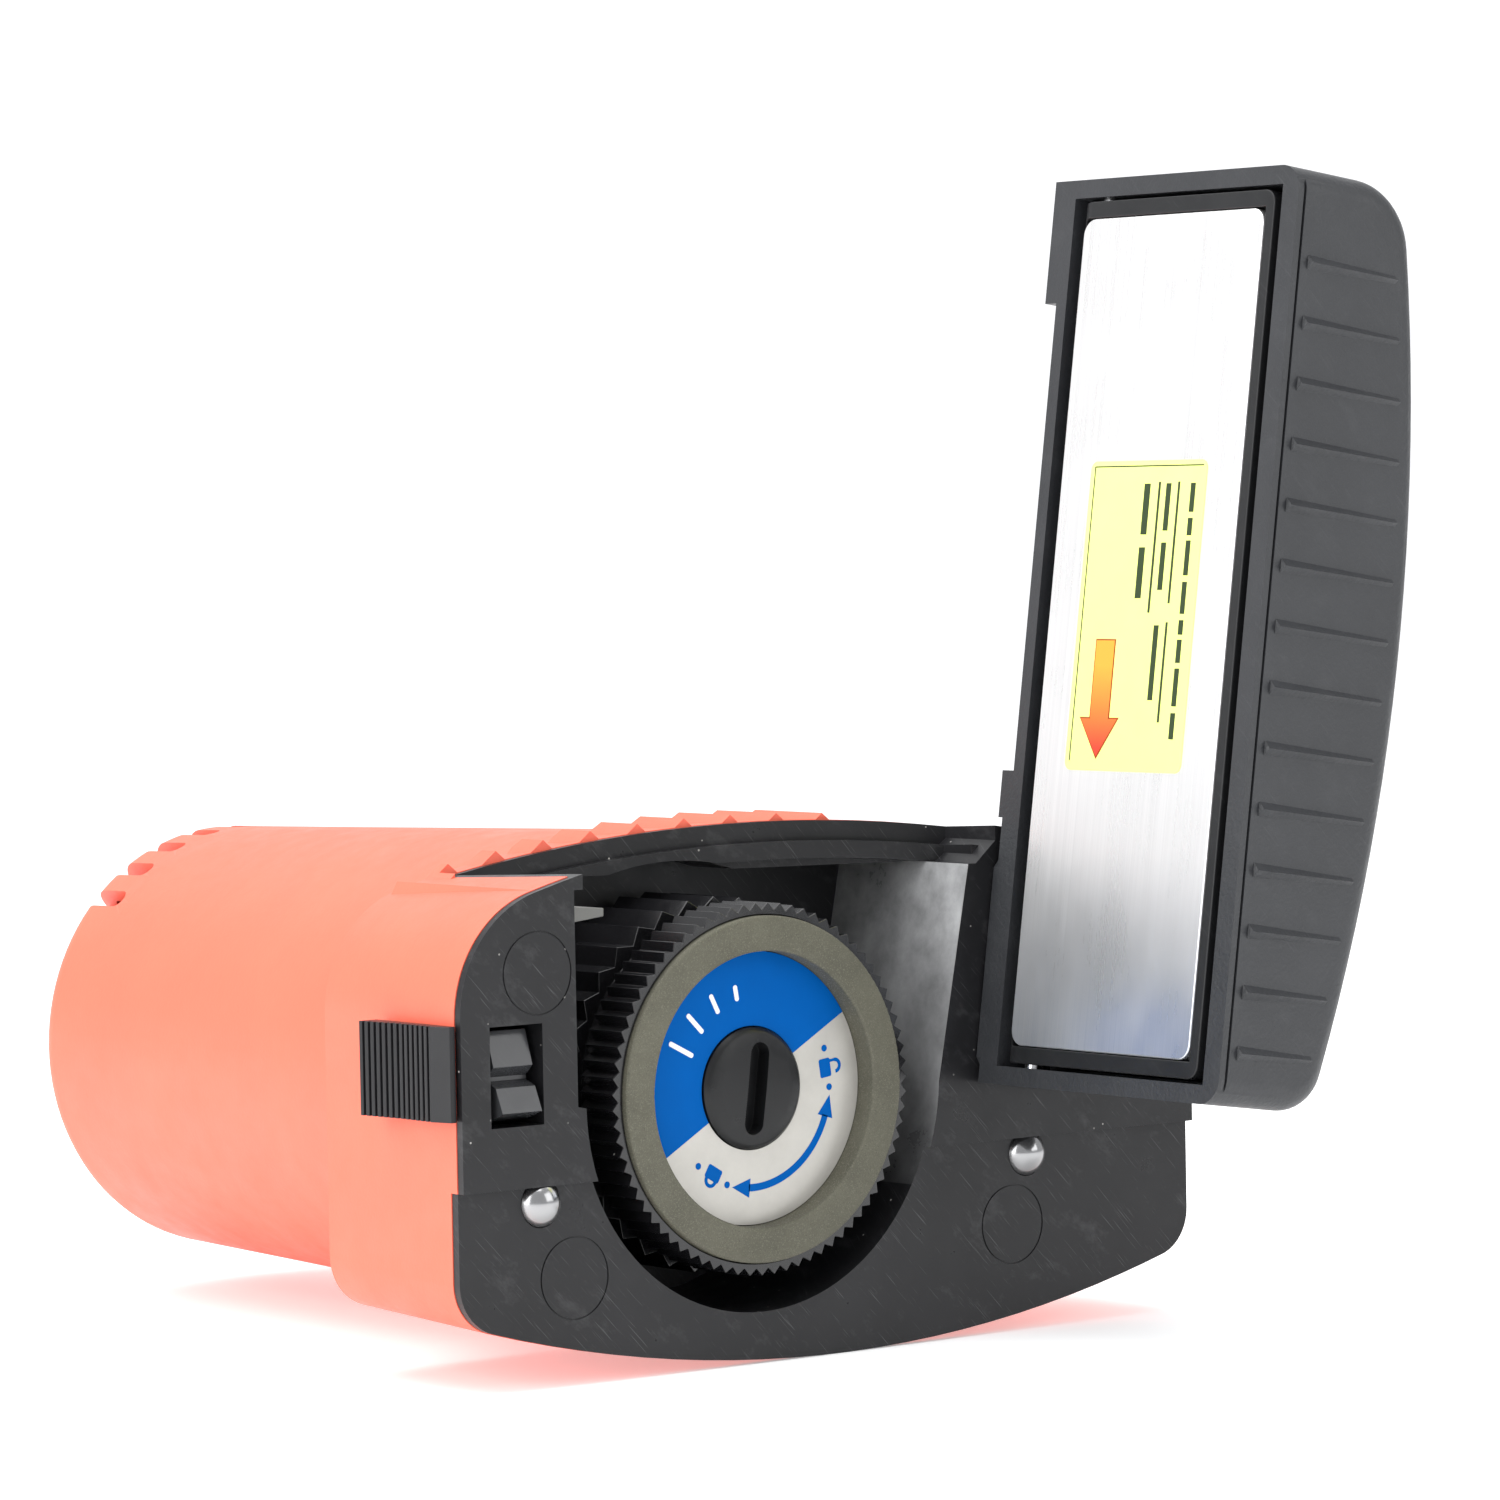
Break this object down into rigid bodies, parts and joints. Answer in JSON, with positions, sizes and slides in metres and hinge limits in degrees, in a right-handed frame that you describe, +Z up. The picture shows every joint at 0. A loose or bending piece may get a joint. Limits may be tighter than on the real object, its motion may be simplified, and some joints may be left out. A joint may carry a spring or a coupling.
{
  "type": "edge tuning tool",
  "caption": "Hand-held electric grinder for ski and snowboard side edges: round barrel, spindle drum with abrasive ring, swing-out guide arm with a steel glide plate.",
  "frame": {"origin": "middle of the footprint of the bounding box, at the lowest point, with the tool lying on its side", "axes": "+Z up; +Y from the working face back along the motor barrel; +X towards the guide arm hinge"},
  "size_m": [0.117, 0.179, 0.1431],
  "materials": {
    "orange_housing": "fine-grained moulded plastic",
    "black_face_plate": "semi-gloss moulded plastic with light scuffs",
    "black_mouldings": "satin moulded plastic",
    "guide_black": "fine-grained moulded plastic",
    "frame_black": "satin moulded plastic",
    "slider_black": "satin moulded plastic",
    "latch_black": "glossy moulded plastic",
    "rocker_black": "glossy moulded plastic",
    "grey_guard": "satin",
    "gland_rubber": "matt",
    "stainless_plate": "brushed lengthwise",
    "polished_steel": "polished balls",
    "zinc_screws": "zinc plated",
    "ground_steel": "ground and hardened",
    "spring_steel": "drawn wire",
    "bearing_steel": "polished",
    "motor_steel": "zinc plated",
    "cast_aluminium": "die cast",
    "drum_black": "glossy black anodised",
    "label_foil": "printed satin foil",
    "abrasive_ring": "bonded grit",
    "ferrite": "matt",
    "laminations": "varnished sheet stack",
    "copper_bars": "turned copper",
    "sintered_bronze": "oiled bronze",
    "sticker_paper": "printed removable sticker, on the glide plate"
  },
  "bodies": {
    "housing": {"head_shell": "orange_housing", "motor_barrel": "orange_housing", "face_liner": "black_face_plate", "riding_balls": "polished_steel", "head_screws": "zinc_screws", "cap_screws": "zinc_screws", "mount_screws": "zinc_screws", "motor_tie_bolts": "zinc_screws", "hinge_pin": "ground_steel", "swarf_guard": "grey_guard", "rear_cap": "black_mouldings", "cord_gland": "gland_rubber", "switch_body": "black_mouldings", "motor_mount": "cast_aluminium", "front_bearing": "bearing_steel", "rear_bearing": "bearing_steel", "motor_can": "motor_steel", "motor_magnets": "ferrite", "motor_end_bell": "cast_aluminium", "brush_holders": "sintered_bronze", "latch_spring": "spring_steel"},
    "spindle": {"spindle_shaft": "ground_steel", "motor_rotor": "laminations", "commutator": "copper_bars", "cooling_fan": "black_mouldings", "grinding_drum": "drum_black", "grinding_ring": "abrasive_ring", "ring_carrier": "black_mouldings", "ring_label": "label_foil"},
    "clamp_cap": {"lock_cap": "black_mouldings"},
    "guide_arm": {"guide_body": "guide_black", "hinge_bush": "sintered_bronze", "tilt_pins": "ground_steel"},
    "tilt_holder": {"plate_frame": "frame_black", "glide_plate": "stainless_plate"},
    "tilt_wheel": {"angle_wheel": "black_mouldings"},
    "latch": {"latch_bolt": "latch_black", "latch_slider": "slider_black"},
    "rocker": {"switch_rocker": "rocker_black"}
  },
  "joints": [
    {"name": "spindle_turn", "type": "hinge", "parent": "housing", "child": "spindle", "pos_m": [-0.01066, -0.03252, 0.03324], "axis": [0, 1, 0], "continuous": true},
    {"name": "cap_turn", "type": "hinge", "parent": "spindle", "child": "clamp_cap", "pos_m": [-0.01066, -0.03952, 0.03324], "axis": [0, 1, 0], "range_deg": [0, 75]},
    {"name": "arm_swing", "type": "hinge", "parent": "housing", "child": "guide_arm", "pos_m": [0.04321, -0.05752, 0.04383], "axis": [0, -1, 0], "range_deg": [0, 98.1]},
    {"name": "plate_tilt", "type": "hinge", "parent": "guide_arm", "child": "tilt_holder", "pos_m": [0.03261, -0.05158, 0.08702], "axis": [-0.1409, 0, -0.99], "range_deg": [0, 5]},
    {"name": "wheel_turn", "type": "hinge", "parent": "guide_arm", "child": "tilt_wheel", "pos_m": [0.05198, -0.07032, 0.10244], "axis": [0.99, 0, -0.1409], "range_deg": [0, 300]},
    {"name": "latch_slide", "type": "slide", "parent": "housing", "child": "latch", "axis": [0, 1, 0], "range_m": [0, 0.004], "stiffness_N_per_m": 300, "springref_m": -0.004, "deforming": ["latch_spring"]},
    {"name": "rocker_tip", "type": "hinge", "parent": "housing", "child": "rocker", "pos_m": [0.01694, 0.06298, 0.03324], "axis": [0, 0, 1], "range_deg": [0, 18]}
  ],
  "couplings": [
    {"joint": "wheel_turn", "follows": "plate_tilt", "ratio": 60}
  ]
}
